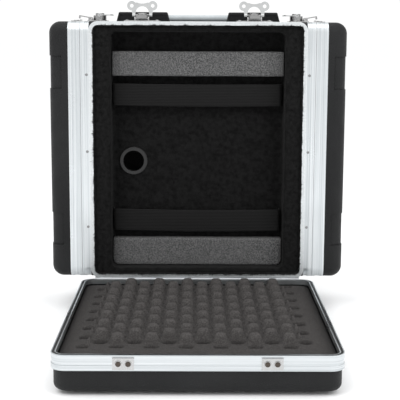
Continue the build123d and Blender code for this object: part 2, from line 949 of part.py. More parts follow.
def latch_key(place, folded):
    """The butterfly key: two holed lobes over an arch, on eyes round the cross pin."""
    turn = 90 if folded else 0
    up = place.z_dir * cos(radians(turn)) - place.y_dir * sin(radians(turn))
    origin = place.origin - place.y_dir * rotor_back + place.z_dir * fold_up
    face = Plane(origin=origin, x_dir=place.x_dir, z_dir=place.x_dir.cross(up))
    leg_mid = (key_leg_in + key_leg_out) / 2
    with BuildPart() as key:
        with BuildSketch(face.offset(-key_thick / 2)):
            with Locations((0, (key_web_top + key_arch_up) / 2)):
                Rectangle(2 * key_lobe_x, key_web_top - key_arch_up)
            with Locations((0, key_arch_up)):
                Circle(key_arch, mode=Mode.SUBTRACT)
            with Locations((0, key_web_top - key_dip_deep + key_dip)):
                Circle(key_dip, mode=Mode.SUBTRACT)
            with Locations((-leg_mid, key_lobe_up / 2), (leg_mid, key_lobe_up / 2)):
                Rectangle(key_leg_out - key_leg_in, key_lobe_up)
            with Locations((-key_lobe_x, key_lobe_up), (key_lobe_x, key_lobe_up)):
                Circle(key_lobe)
                Circle(key_hole, mode=Mode.SUBTRACT)
        extrude(amount=key_thick)
        for x in (-leg_mid, leg_mid):
            eye = side_plane(place, -rotor_back, fold_up).offset(x)
            with BuildSketch(eye):
                Circle(eye_radius)
            extrude(amount=(key_leg_out - key_leg_in) / 2, both=True)
            with BuildSketch(eye):
                Circle(cross_pin + pin_play)
            extrude(amount=key_leg_out - key_leg_in, both=True, mode=Mode.SUBTRACT)
    return key


def latch_hook(place):
    """The hook in its released place: an eye, an arm over the rim and a claw."""
    claw_in = latch_rim_reach + catch_from_rim + catch_lip + catch_claw_gap
    claw_y = claw_in - hook_pivot
    tip = hook_tip_up - hook_pivot_up
    middle = side_plane(place, hook_pivot, hook_pivot_up, hook_raise)
    with BuildPart() as hook:
        with BuildSketch(middle):
            with BuildLine():
                Polyline(
                    (0, eye_radius - hook_thick),
                    (0, eye_radius),
                    (claw_y + hook_claw, eye_radius),
                    (claw_y + hook_claw, tip),
                    (claw_y, tip),
                    (claw_y, eye_radius - hook_thick),
                    close=True,
                )
            make_face()
            Circle(eye_radius)
        extrude(amount=hook_half_width, both=True)
        with BuildSketch(middle):
            Circle(cross_pin)
        extrude(amount=ear_in + ear_thick, both=True)
    return hook


for group, members in (
    ("lid_latch_plates", ("left_lid", "right_lid")),
    (
        "cover_latch_plates",
        ("left_top", "left_bottom", "right_top", "right_bottom"),
    ),
):
    with BuildPart() as plates:
        for member in members:
            add(latch_base(latches[member]))
    write(plates, group)
for name, place in latches.items():
    write(latch_rotor(place), f"{name}_latch_rotor")
    write(latch_key(place, not name.endswith("_lid")), f"{name}_latch_key")
    write(latch_hook(place), f"{name}_latch_hook")

# Carrying handle: two brackets, a bail that lies back flat, and its grip
pivot_y = front_y + handle_pivot_back
pivot_z = top_z + handle_pivot_up
with BuildPart() as handle_brackets:
    for side in (-1, 1):
        bracket_plane = Plane(
            origin=(side * handle_x - bracket_wide / 2, pivot_y, top_z),
            x_dir=(0, 1, 0),
            z_dir=(1, 0, 0),
        )
        with BuildSketch(bracket_plane):
            Trapezoid(
                bracket_long,
                handle_pivot_up,
                bracket_slope,
                align=(Align.CENTER, Align.MIN),
            )
            with Locations((0, handle_pivot_up)):
                Circle(handle_pin + bracket_wall)
                Circle(handle_pin + pin_play, mode=Mode.SUBTRACT)
        extrude(amount=bracket_wide)
write(handle_brackets, "handle_brackets")

arm_x = handle_x + bracket_wide / 2 + fit_gap + handle_arm_radius
grip_y = pivot_y + handle_arm
with BuildPart() as handle_bail:
    for side in (-1, 1):
        with BuildSketch(
            Plane(
                origin=(side * arm_x, pivot_y, pivot_z), x_dir=(0, 1, 0), z_dir=(1, 0, 0)
            )
        ):
            with Locations((handle_arm / 2, 0)):
                SlotCenterToCenter(handle_arm, 2 * handle_arm_radius)
        extrude(amount=handle_arm_radius, both=True)
        with BuildSketch(
            Plane(
                origin=(side * arm_x, pivot_y, pivot_z), x_dir=(0, 1, 0), z_dir=(1, 0, 0)
            )
        ):
            Circle(handle_pin)
        extrude(amount=-side * (bracket_wide + handle_arm_radius))
    with BuildSketch(
        Plane(origin=(-arm_x, grip_y, pivot_z), x_dir=(0, 1, 0), z_dir=(1, 0, 0))
    ):
        Circle(handle_pin)
    extrude(amount=2 * arm_x)
write(handle_bail, "handle_bail")

with BuildPart() as handle_grip:
    with BuildSketch(
        Plane(
            origin=(-grip_length / 2, grip_y, pivot_z), x_dir=(0, 1, 0), z_dir=(1, 0, 0)
        )
    ):
        Circle(grip_radius)
    extrude(amount=grip_length)
    chamfer(handle_grip.edges(), grip_radius / 3)
    with BuildSketch(
        Plane(
            origin=(-grip_length / 2, grip_y, pivot_z), x_dir=(0, 1, 0), z_dir=(1, 0, 0)
        )
    ):
        Circle(handle_pin)
    extrude(amount=grip_length, mode=Mode.SUBTRACT)
write(handle_grip, "handle_grip")

# Casters: four fixed forks with their axles, and four wheels
casters = {
    "left_front": (-caster_x, front_y + caster_front),
    "right_front": (caster_x, front_y + caster_front),
    "left_rear": (-caster_x, front_y + caster_rear),
    "right_rear": (caster_x, front_y + caster_rear),
}
fork_inside = wheel_width / 2 + hub_gap
with BuildPart() as caster_forks:
    for x, y in casters.values():
        with BuildSketch(Plane(origin=(x, y, base_z), z_dir=(0, 0, -1))):
            RectangleRounded(
                caster_plate_long, caster_plate_wide, caster_plate_corner
            )
        extrude(amount=caster_plate)
        for way in (-1, 1):
            with BuildSketch(
                Plane(
                    origin=(x, y + way * fork_inside, wheel_radius),
                    x_dir=(1, 0, 0),
                    z_dir=(0, -1, 0),
                )
            ):
                with BuildLine():
                    Polyline(
                        (-fork_reach, base_z - wheel_radius - caster_plate),
                        (fork_reach, base_z - wheel_radius - caster_plate),
                        (fork_round, 0),
                        (-fork_round, 0),
                        close=True,
                    )
                make_face()
                Circle(fork_round)
                Circle(axle_radius, mode=Mode.SUBTRACT)
            extrude(amount=-way * fork_thick)
write(caster_forks, "caster_forks")

with BuildPart() as caster_axles:
    for x, y in casters.values():
        with BuildSketch(
            Plane(origin=(x, y, wheel_radius), x_dir=(1, 0, 0), z_dir=(0, 1, 0))
        ):
            Circle(axle_radius)
        extrude(amount=fork_inside + fork_thick, both=True)
write(caster_axles, "caster_axles")

for name, (x, y) in casters.items():
    with BuildPart() as wheel:
        with BuildSketch(
            Plane(origin=(x, y, wheel_radius), x_dir=(1, 0, 0), z_dir=(0, 1, 0))
        ):
            Circle(wheel_radius)
        extrude(amount=wheel_width / 2, both=True)
        chamfer(wheel.edges(), wheel_tread_round / 2)
        with BuildSketch(
            Plane(origin=(x, y, wheel_radius), x_dir=(1, 0, 0), z_dir=(0, 1, 0))
        ):
            Circle(axle_radius + pin_play)
        extrude(amount=wheel_width, both=True, mode=Mode.SUBTRACT)
    write(wheel, f"{name}_wheel")
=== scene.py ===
import math
import random

import bmesh
import bpy
import numpy as np
from mathutils import Matrix, Vector, noise


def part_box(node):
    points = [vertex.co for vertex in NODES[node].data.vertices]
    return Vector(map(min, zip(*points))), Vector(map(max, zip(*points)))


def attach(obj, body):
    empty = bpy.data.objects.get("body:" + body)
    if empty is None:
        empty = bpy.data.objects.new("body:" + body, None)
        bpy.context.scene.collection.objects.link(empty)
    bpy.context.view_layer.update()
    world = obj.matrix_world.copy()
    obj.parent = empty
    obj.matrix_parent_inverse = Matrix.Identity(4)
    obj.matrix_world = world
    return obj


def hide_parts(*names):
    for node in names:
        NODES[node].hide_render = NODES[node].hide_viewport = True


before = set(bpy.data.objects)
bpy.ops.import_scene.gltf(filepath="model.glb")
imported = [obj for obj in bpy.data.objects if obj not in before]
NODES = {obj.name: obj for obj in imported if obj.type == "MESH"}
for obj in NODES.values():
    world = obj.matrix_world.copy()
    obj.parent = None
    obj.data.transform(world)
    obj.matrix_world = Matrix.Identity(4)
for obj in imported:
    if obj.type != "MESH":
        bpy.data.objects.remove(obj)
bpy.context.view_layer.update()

MM = 0.001

# The case's main planes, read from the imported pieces
edging_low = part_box("left_body_edging")[0]
FRONT_Y = edging_low.y
BASE_Z = edging_low.z
RIM_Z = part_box("lid_edging")[1].z
ring_low, ring_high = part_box("lid_frame")


# Materials


def opaque(shade):
    """A full colour, from one grey level or from three channels."""
    return (*shade, 1.0) if isinstance(shade, tuple) else (shade, shade, shade, 1.0)


class Shader:
    """One procedural material, with short calls for the nodes that it is made of."""

    def __init__(self, name, color, roughness, metallic=0.0):
        self.material = bpy.data.materials.new(name)
        self.material.use_nodes = True
        self.tree = self.material.node_tree
        self.surface = self.tree.nodes["Principled BSDF"]
        self.surface.inputs["Base Color"].default_value = (*color, 1.0)
        self.surface.inputs["Roughness"].default_value = roughness
        self.surface.inputs["Metallic"].default_value = metallic
        self.place = self.node("ShaderNodeTexCoord").outputs["Object"]

    def node(self, kind, **values):
        made = self.tree.nodes.new(kind)
        for key, value in values.items():
            setattr(made, key, value)
        return made

    def link(self, source, target):
        self.tree.links.new(source, target)

    def stretched(self, scale):
        mapping = self.node("ShaderNodeMapping")
        mapping.inputs["Scale"].default_value = scale
        self.link(self.place, mapping.inputs["Vector"])
        return mapping.outputs["Vector"]

    def noise(self, scale, detail=2.0, stretch=None):
        made = self.node("ShaderNodeTexNoise")
        made.inputs["Scale"].default_value = scale
        made.inputs["Detail"].default_value = detail
        self.link(self.stretched(stretch) if stretch else self.place, made.inputs["Vector"])
        return made.outputs["Fac"]

    def cells(self, scale):
        made = self.node("ShaderNodeTexVoronoi")
        made.inputs["Scale"].default_value = scale
        self.link(self.place, made.inputs["Vector"])
        return made.outputs["Distance"]

    def ramp(self, value, stops):
        made = self.node("ShaderNodeValToRGB")
        points = made.color_ramp.elements
        for element, (place, shade) in zip(points, (stops[0], stops[-1])):
            element.position = place
            element.color = opaque(shade)
        for place, shade in stops[1:-1]:
            element = points.new(place)
            element.color = opaque(shade)
        self.link(value, made.inputs["Fac"])
        return made.outputs["Color"]

    def math(self, operation, first, second):
        made = self.node("ShaderNodeMath", operation=operation)
        for socket, value in zip(made.inputs, (first, second)):
            if isinstance(value, (int, float)):
                socket.default_value = value
            else:
                self.link(value, socket)
        return made.outputs[0]

    def color(self, source):
        self.link(source, self.surface.inputs["Base Color"])

    def rough(self, source):
        self.link(source, self.surface.inputs["Roughness"])

    def bump(self, height, distance, strength=1.0):
        made = self.node("ShaderNodeBump")
        made.inputs["Strength"].default_value = strength
        made.inputs["Distance"].default_value = distance
        self.link(height, made.inputs["Height"])
        self.link(made.outputs["Normal"], self.surface.inputs["Normal"])


def pebbled_plastic():
    """Black moulding with a leathery grain, a little paler where it has been handled."""
    s = Shader("moulded_shell", (0.016, 0.017, 0.018), 0.5)
    s.surface.inputs["Specular IOR Level"].default_value = 0.22
    patches = s.noise(9.0, 5.0)
    s.color(s.ramp(patches, [(0.3, (0.0075, 0.0078, 0.0082)), (0.75, (0.0125, 0.013, 0.0137))]))
    grain = s.math("ADD", s.cells(420.0), s.noise(640.0, 3.0))
    s.rough(s.ramp(s.noise(35.0, 4.0), [(0.3, 0.46), (0.7, 0.6)]))
    s.bump(grain, 0.0006, 0.9)
    return s.material


ALUMINIUM = (0.9, 0.92, 0.93)
DRAWN_DARK = (0.5, 0.535, 0.55)
DRAWN_PALE = (0.76, 0.785, 0.8)
DRAW_LINES_ALONG = 2.0
DRAW_LINES_ACROSS = 900.0


def drawn_aluminium(name, across, shade):
    """Bright anodised extrusion, with draw lines square to the given axis; shade scales its
    colour, and below 1 that is painted shade.
    """
    s = Shader(name, ALUMINIUM, 0.3, 1.0)
    stretch = [DRAW_LINES_ALONG] * 3
    stretch[across] = DRAW_LINES_ACROSS
    lines = s.noise(1.0, 3.0, stretch)
    # A shade below 1 paints shade into both tones
    low, high = (Vector(tone) * shade for tone in (DRAWN_DARK, DRAWN_PALE))
    s.color(s.ramp(lines, [(0.3, tuple(low)), (0.7, tuple(high))]))
    s.rough(s.ramp(s.noise(14.0, 4.0), [(0.3, 0.26), (0.7, 0.38)]))
    s.bump(lines, 0.00006, 0.5)
    return s.material


def satin_frame():
    """The well's frame: the same metal, with faint marks in no one direction."""
    s = Shader("frame_aluminium", ALUMINIUM, 0.34, 1.0)
    marks = s.noise(260.0, 5.0)
    s.color(s.ramp(marks, [(0.3, (0.64, 0.665, 0.675)), (0.7, (0.75, 0.775, 0.785))]))
    s.rough(s.ramp(s.noise(20.0, 4.0), [(0.3, 0.3), (0.7, 0.42)]))
    s.bump(marks, 0.00004, 0.4)
    return s.material


def black_plush(name, tone):
    """Short pile: nearly black, with clumps that catch a soft sheen."""
    s = Shader(name, (tone, tone, tone), 1.0)
    s.surface.inputs["Specular IOR Level"].default_value = 0.05
    s.surface.inputs["Sheen Weight"].default_value = 0.03
    s.surface.inputs["Sheen Roughness"].default_value = 0.5
    clumps = s.math("ADD", s.noise(120.0, 5.0), s.math("MULTIPLY", s.noise(700.0, 3.0), 0.7))
    s.color(s.ramp(clumps, [(0.55, tone * 0.45), (1.15, tone * 1.9)]))
    s.bump(clumps, 0.0025, 0.8)
    return s.material


# Painted shade for the lid's egg-crate foam: darkest low in the valleys, full colour near the rim
FOAM_PAINTED_SHADE_LEVEL = 0.25
FOAM_PAINTED_SHADE_LOW_Z = RIM_Z - 26 * MM
FOAM_PAINTED_SHADE_HIGH_Z = RIM_Z + 4 * MM


def speckled_foam(name, dark, mid, light, cell, depth, shade=None):
    """Foam seen close: open cells with dark pits and pale flecks.

    Given two heights as its shade, it gets painted shade: its colour is scaled down by height,
    darkest at the first and full at the second, so the valleys look shaded.
    """
    s = Shader(name, mid, 1.0)
    s.surface.inputs["Specular IOR Level"].default_value = 0.12
    grains = s.noise(cell, 3.0)
    flecks = s.cells(cell * 0.8)
    blend = s.math("ADD", s.math("MULTIPLY", grains, 0.75), s.math("MULTIPLY", flecks, 0.4))
    tone = s.ramp(blend, [(0.38, dark), (0.52, mid), (0.68, light)])
    # Painted shade: the colour is scaled by height, darkest low in the valleys and full near the
    # rim
    if shade:
        split = s.node("ShaderNodeSeparateXYZ")
        s.link(s.place, split.inputs["Vector"])
        level = s.node("ShaderNodeMapRange")
        level.inputs["From Min"].default_value = shade[0]
        level.inputs["From Max"].default_value = shade[1]
        level.inputs["To Min"].default_value = FOAM_PAINTED_SHADE_LEVEL
        level.inputs["To Max"].default_value = 1.0
        s.link(split.outputs["Z"], level.inputs["Value"])
        mix = s.node("ShaderNodeVectorMath", operation="SCALE")
        s.link(tone, mix.inputs["Vector"])
        s.link(level.outputs["Result"], mix.inputs["Scale"])
        tone = mix.outputs["Vector"]
    s.color(tone)
    s.bump(blend, depth, 0.9)
    return s.material


def ribbed_webbing():
    """Black woven band: fine ribs across it, and a slower weave along it."""
    s = Shader("webbing", (0.012, 0.012, 0.0125), 0.75)
    s.surface.inputs["Specular IOR Level"].default_value = 0.15
    s.surface.inputs["Sheen Weight"].default_value = 0.04
    ribs = s.node("ShaderNodeTexWave", wave_type="BANDS", bands_direction="Z")
    ribs.inputs["Scale"].default_value = 95.0
    ribs.inputs["Distortion"].default_value = 0.5
    s.link(s.place, ribs.inputs["Vector"])
    picks = s.node("ShaderNodeTexWave", wave_type="BANDS", bands_direction="X")
    picks.inputs["Scale"].default_value = 190.0
    s.link(s.place, picks.inputs["Vector"])
    weave = s.math("ADD", ribs.outputs["Fac"], s.math("MULTIPLY", picks.outputs["Fac"], 0.5))
    s.color(s.ramp(weave, [(0.1, 0.003), (1.0, 0.009)]))
    s.bump(weave, 0.0005, 0.8)
    return s.material


def plated_metal(name, color, low, high):
    """Plated or polished metal: clean, with faint smears in its gloss."""
    s = Shader(name, color, low, 1.0)
    s.rough(s.ramp(s.noise(160.0, 5.0), [(0.35, low), (0.7, high)]))
    s.color(s.ramp(s.noise(60.0, 4.0), [(0.3, tuple(c * 0.9 for c in color)), (0.7, color)]))
    s.bump(s.noise(1400.0, 2.0), 0.00002, 0.35)
    return s.material


def plain_polymer(name, color, roughness, grain):
    """Smooth plastic or rubber, with a faint surface tooth and uneven gloss."""
    s = Shader(name, color, roughness)
    s.surface.inputs["Specular IOR Level"].default_value = 0.4
    s.color(s.ramp(s.noise(25.0, 4.0), [(0.3, tuple(c * 0.8 for c in color)), (0.7, color)]))
    dullest = min(1.0, roughness * 1.15)
    s.rough(s.ramp(s.noise(80.0, 3.0), [(0.3, roughness * 0.85), (0.7, dullest)]))
    s.bump(s.noise(grain, 3.0), 0.0001, 0.4)
    return s.material


MATERIALS = {
    "moulded_shell": pebbled_plastic(),
    "body_extrusion": drawn_aluminium("end_aluminium", 0, 1.0),
    # The lid's copy is 0.9 as bright: painted shade that tones down the lid's edging, which takes
    # more light
    "lid_extrusion": drawn_aluminium("lid_aluminium", 2, 0.9),
    "frame_extrusion": satin_frame(),
    "plush": black_plush("plush", 0.006),
    "pile": black_plush("plush_pile", 0.009),
    "pad_foam": speckled_foam(
        "pad_foam",
        (0.028, 0.028, 0.029),
        (0.058, 0.058, 0.059),
        (0.15, 0.15, 0.15),
        600.0,
        0.0009,
    ),
    # The lid foam gets painted shade in its valleys, by height
    "lid_foam": speckled_foam(
        "lid_foam",
        (0.026, 0.0245, 0.0238),
        (0.043, 0.0405, 0.0395),
        (0.088, 0.083, 0.081),
        900.0,
        0.0004,
        (FOAM_PAINTED_SHADE_LOW_Z, FOAM_PAINTED_SHADE_HIGH_Z),
    ),
    "webbing": ribbed_webbing(),
    "chrome": plated_metal("latch_chrome", (0.62, 0.63, 0.63), 0.1, 0.22),
    # A darker copy of the keys' chrome for the latch rotors and hooks: painted shade
    "painted_shade_chrome": plated_metal("drum_chrome", (0.34, 0.34, 0.34), 0.12, 0.26),
    "nickel": plated_metal("latch_plate", (0.5, 0.5, 0.5), 0.22, 0.36),
    "zinc": plated_metal("zinc_steel", (0.55, 0.56, 0.58), 0.3, 0.45),
    "rivet": plated_metal("dark_rivet", (0.085, 0.07, 0.06), 0.2, 0.34),
    "stud": plated_metal("edging_rivet", (0.3, 0.3, 0.3), 0.25, 0.4),
    "tray_board": plain_polymer("tray_board", (0.012, 0.012, 0.013), 0.6, 300.0),
    "grommet": plain_polymer("grommet", (0.012, 0.012, 0.012), 0.32, 500.0),
    "grip": plain_polymer("grip", (0.52, 0.56, 0.58), 0.35, 400.0),
    "seal": plain_polymer("seal", (0.01, 0.01, 0.011), 0.55, 500.0),
    "tyre": plain_polymer("wheel_rubber", (0.014, 0.014, 0.015), 0.6, 350.0),
}


def dress(material, *names):
    """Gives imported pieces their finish."""
    for name in names:
        slots = NODES[name].data.materials
        slots.clear()
        slots.append(MATERIALS[material])


LATCHES = ("left_lid", "right_lid", "left_top", "left_bottom", "right_top", "right_bottom")
SIDES = ("left", "right")
dress("moulded_shell", "body_shell", "lid_shell", *[f"{side}_cover_shell" for side in SIDES])
dress("body_extrusion", *[f"{side}_{part}_edging" for side in SIDES for part in ("body", "cover")])
dress("lid_extrusion", "lid_edging")
dress("frame_extrusion", "lid_frame")
dress("plush", "well_lining")
dress("pad_foam", "upper_foam_pad", "lower_foam_pad")
dress("lid_foam", "lid_foam")
dress("webbing", "upper_strap", "lower_strap")
dress("tray_board", "well_tray")
dress("grommet", "cable_grommet")
dress("grip", "handle_grip")
dress("seal", "lid_seal")
dress("stud", "edging_rivets")
dress("zinc", "caster_forks", "caster_axles", "hinge_pin", "body_hinge_leaf", "lid_hinge_leaf")
dress("zinc", "handle_bail", "handle_brackets")
dress("zinc", *[f"{side}_{level}_rack_rail" for side in SIDES for level in ("lower", "upper")])
dress("nickel", "lid_latch_plates", "cover_latch_plates", "lid_catches")
dress("nickel", *[f"{side}_cover_catches" for side in SIDES])
dress("chrome", *[f"{name}_latch_key" for name in LATCHES])
# Rotors and hooks take the darker chrome, which is painted shade
dress("painted_shade_chrome", *[f"{name}_latch_{part}" for name in LATCHES for part in ("rotor", "hook")])
dress("tyre", *[f"{side}_{end}_wheel" for side in SIDES for end in ("front", "rear")])


# Helpers for modelled pieces


def mesh_piece(name, points, faces, material, smooth=True):
    """A mesh object from points and faces, with one finish."""
    mesh = bpy.data.meshes.new(name)
    mesh.from_pydata([tuple(p) for p in points], [], [tuple(f) for f in faces])
    mesh.validate()
    mesh.materials.append(MATERIALS[material])
    mesh.polygons.foreach_set("use_smooth", [smooth] * len(mesh.polygons))
    piece = bpy.data.objects.new(name, mesh)
    bpy.context.scene.collection.objects.link(piece)
    return piece


def finish_normals(piece):
    """Turns every face of a closed piece outwards."""
    work = bmesh.new()
    work.from_mesh(piece.data)
    bmesh.ops.recalc_face_normals(work, faces=work.faces)
    work.to_mesh(piece.data)
    work.free()


def applied(piece, kind, **values):
    """Adds a modifier, and keeps its result as the piece's mesh."""
    modifier = piece.modifiers.new(kind.lower(), kind)
    for key, value in values.items():
        setattr(modifier, key, value)
    bpy.context.view_layer.update()
    graph = bpy.context.evaluated_depsgraph_get()
    made = bpy.data.meshes.new_from_object(piece.evaluated_get(graph))
    piece.modifiers.clear()
    old = piece.data
    piece.data = made
    bpy.data.meshes.remove(old)
    return piece


def copy_of(node, name, material):
    """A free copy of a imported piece's mesh, to be worked on."""
    mesh = NODES[node].data.copy()
    mesh.name = name
    mesh.materials.clear()
    mesh.materials.append(MATERIALS[material])
    piece = bpy.data.objects.new(name, mesh)
    bpy.context.scene.collection.objects.link(piece)
    return piece


def coordinates(mesh):
    flat = np.empty(len(mesh.vertices) * 3)
    mesh.vertices.foreach_get("co", flat)
    return flat.reshape(-1, 3)


def normals(mesh):
    flat = np.empty(len(mesh.vertices) * 3)
    mesh.vertices.foreach_get("normal", flat)
    return flat.reshape(-1, 3)


def shifted(mesh, points):
    mesh.vertices.foreach_set("co", np.asarray(points).ravel())
    mesh.update()


def smooth_shaded(piece):
    piece.data.polygons.foreach_set("use_smooth", [True] * len(piece.data.polygons))


# Plush lining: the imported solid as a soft, uneven shell, with pile at its mouth
PILE_VOXEL = 3.2 * MM
PILE_SWELL = 1.0 * MM
PILE_LUMP = 0.022
PILE_FINE_LUMP = 0.008


def clump(point, size):
    """Uneven swelling of a soft surface, from -1 to 1, in lumps of a size in metres."""
    return noise.noise(Vector(point) / size)


def plush_lining():
    piece = copy_of("well_lining", "plush_lining", "plush")
    applied(piece, "REMESH", mode="VOXEL", voxel_size=PILE_VOXEL)
    applied(piece, "SMOOTH", factor=0.5, iterations=3)
    points, directions = coordinates(piece.data), normals(piece.data)
    for n, (point, direction) in enumerate(zip(points, directions)):
        lump = clump(point, PILE_LUMP) + 0.6 * clump(point, PILE_FINE_LUMP)
        points[n] = point + direction * PILE_SWELL * (lump - 0.4)
    shifted(piece.data, points)
    smooth_shaded(piece)
    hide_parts("well_lining")
    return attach(piece, "case")


RING_WALL = 8.0 * MM
RING_CORNER = 11.0 * MM


def mouth_outline(count, inset):
    """Points round the mouth of the well, with outward directions, at equal steps."""
    half_x = ring_high.x - RING_WALL - inset
    half_z = (ring_high.z - ring_low.z) / 2 - RING_WALL - inset
    radius = RING_CORNER - inset
    middle_z = (ring_high.z + ring_low.z) / 2
    straight_x, straight_z = half_x - radius, half_z - radius
    quarter = math.pi / 2 * radius
    length = 4 * (straight_x + straight_z + quarter)
    for n in range(count):
        along = length * n / count
        for turn in range(4):
            side = 2 * (straight_z if turn % 2 == 0 else straight_x)
            reach = half_x if turn % 2 == 0 else half_z
            if along < side:
                flat, out = along - side / 2, (reach, 0.0)
                spin = turn * math.pi / 2
                x = math.cos(spin) * reach - math.sin(spin) * flat
                z = math.sin(spin) * reach + math.cos(spin) * flat
                yield Vector((x, 0, z + middle_z)), Vector((math.cos(spin), 0, math.sin(spin)))
                break
            along -= side
            if along < quarter:
                angle = turn * math.pi / 2 + along / radius
                spin = turn * math.pi / 2 + math.pi / 4
                centre = Vector(
                    (
                        math.copysign(straight_x, math.cos(spin)),
                        0,
                        math.copysign(straight_z, math.sin(spin)) + middle_z,
                    )
                )
                out = Vector((math.cos(angle), 0, math.sin(angle)))
                yield centre + out * radius, out
                break
            along -= quarter


# Tufts round the well's mouth; lengths without MM are in millimetres
TUFT_COUNT = 9000
TUFT_WIDTH = 0.8 * MM
TUFT_INSET = 1.2 * MM
TUFT_PATCH = 0.014
TUFT_FINE_PATCH = 0.004
TUFT_SHORTEST = 0.8
TUFT_GROWTH = 4.6
TUFT_ROOT_DEPTH = (-0.5, 3.0)
TUFT_ROOT_SPREAD = (0.0, 3.0)
TUFT_RISE = (2.4, 3.6)
TUFT_LEAN = 0.3
TUFT_SIDEWAYS = (-1.5, 1.5)
TUFT_TIP_RISE = (-0.9, 0.2)


def mouth_pile():
    """Tufts of pile that stand out of the well's mouth and lap over the frame."""
    draw = random.Random(11)
    points, faces = [], []
    for place, out in mouth_outline(TUFT_COUNT, TUFT_INSET):
        patch = 0.5 + 0.5 * clump(place, TUFT_PATCH) + 0.35 * clump(place, TUFT_FINE_PATCH)
        growth = TUFT_GROWTH * max(0.0, patch) * draw.uniform(0.4, 1.0)
        reach = (TUFT_SHORTEST + growth) * MM
        along = Vector((-out.z, 0, out.x))
        root = place + Vector((0, FRONT_Y + draw.uniform(*TUFT_ROOT_DEPTH) * MM, 0))
        root -= out * draw.uniform(*TUFT_ROOT_SPREAD) * MM
        rise = Vector((0, -draw.uniform(*TUFT_RISE) * MM, 0))
        middle = root + rise + out * reach * TUFT_LEAN
        tip = middle + out * reach + along * draw.uniform(*TUFT_SIDEWAYS) * MM
        tip += Vector((0, draw.uniform(*TUFT_TIP_RISE) * MM, 0))
        wide = along * TUFT_WIDTH / 2
        start = len(points)
        points += [root - wide, root + wide, middle + wide, middle - wide, tip]
        faces += [(start, start + 1, start + 2, start + 3), (start + 3, start + 2, start + 4)]
    piece = mesh_piece("mouth_pile", points, faces, "pile")
    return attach(piece, "case")


# Foam pads in the well: blocks with soft edges, a little hollowed and uneven
PAD_VOXEL = 2.6 * MM
PAD_LUMP = 0.07
PAD_FINE_LUMP = 0.012
PAD_SHRINK = 0.35


def foam_pad(node, name):
    piece = copy_of(node, name, "pad_foam")
    applied(piece, "REMESH", mode="VOXEL", voxel_size=PAD_VOXEL)
    applied(piece, "SMOOTH", factor=0.5, iterations=2)
    points, directions = coordinates(piece.data), normals(piece.data)
    for n, (point, direction) in enumerate(zip(points, directions)):
        lump = 0.5 * clump(point, PAD_LUMP) + 0.35 * clump(point, PAD_FINE_LUMP) - PAD_SHRINK
        points[n] = point + direction * MM * lump
    shifted(piece.data, points)
    smooth_shaded(piece)
    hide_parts(node)
    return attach(piece, "case")


# Straps: woven bands that hang a little slack between their ends
STRAP_THICK = 1.6 * MM
STRAP_BEND = 6.0 * MM
STRAP_BEND_STEPS = 6
STRAP_STEPS = 120
STRAP_ROWS = 24
STRAP_RIM = 0.55
STRAP_BELLY = 0.9 * MM
STRAP_SWAY = 0.9 * MM
STRAP_SWAY_SIZE = 0.09
STRAP_FRAY = 0.4 * MM
STRAP_FRAY_SIZE = 0.03


def strap_path(low, high, thick):
    """The band's middle line, seen from above: out of the lining, across, and back in."""
    left, right = low.x + thick / 2, high.x - thick / 2
    back, front = high.y, low.y + thick / 2
    bend = STRAP_BEND
    angles = [step / STRAP_BEND_STEPS * math.pi / 2 for step in range(1, STRAP_BEND_STEPS)]
    start, end = left + bend, right - bend
    spots = [(left, back), (left, front + bend)]
    spots += [
        (left + bend * (1 - math.cos(a)), front + bend * (1 - math.sin(a))) for a in angles
    ]
    spots += [(start + (end - start) * n / STRAP_STEPS, front) for n in range(STRAP_STEPS + 1)]
    spots += [
        (right - bend * (1 - math.sin(a)), front + bend * (1 - math.cos(a))) for a in angles
    ]
    spots += [(right, front + bend), (right, back)]
    return [Vector((x, y, 0)) for x, y in spots]


def woven_strap(node, name, sag, seed):
    """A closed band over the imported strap, with its fall and its waves drawn from a seed."""
    low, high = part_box(node)
    draw = random.Random(seed)
    thick = STRAP_THICK
    width = high.z - low.z
    path = strap_path(low, high, thick)
    rows = STRAP_ROWS
    wave = draw.uniform(0, 10)
    points, faces = [], []
    for n, spot in enumerate(path):
        ahead = path[min(n + 1, len(path) - 1)] - path[max(n - 1, 0)]
        out = Vector((ahead.y, -ahead.x, 0)).normalized()
        share = (spot.x - low.x) / (high.x - low.x)
        arch = math.sin(math.pi * share)
        drop = sag * arch + sag * 0.5 * share
        sway = STRAP_SWAY * noise.noise(Vector((spot.x / STRAP_SWAY_SIZE, wave, 0))) * arch
        for face in (1, -1):
            for row in range(rows + 1):
                rise = row / rows
                belly = STRAP_BELLY * math.sin(math.pi * rise) * arch
                fray = noise.noise(Vector((spot.x / STRAP_FRAY_SIZE, rise * 2 + wave, 3)))
                rim = thick / 2 * (STRAP_RIM if row in (0, rows) else 1.0)
                place = spot + out * (face * rim + belly + sway)
                place.z = low.z + width * rise - drop + STRAP_FRAY * fray
                points.append(place)
    ring = 2 * (rows + 1)
    for n in range(len(path) - 1):
        a, b = n * ring, (n + 1) * ring
        for row in range(rows):
            faces.append((a + row, b + row, b + row + 1, a + row + 1))
            c, d = a + rows + 1, b + rows + 1
            faces.append((c + row, c + row + 1, d + row + 1, d + row))
        faces.append((a, a + rows + 1, b + rows + 1, b))
        faces.append((a + rows, b + rows, b + 2 * rows + 1, a + 2 * rows + 1))
    for n in (0, len(path) - 1):
        a = n * ring
        for row in range(rows):
            faces.append((a + row, a + row + 1, a + rows + 2 + row, a + rows + 1 + row))
    piece = mesh_piece(name, points, faces, "webbing")
    finish_normals(piece)
    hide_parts(node)
    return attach(piece, "case")


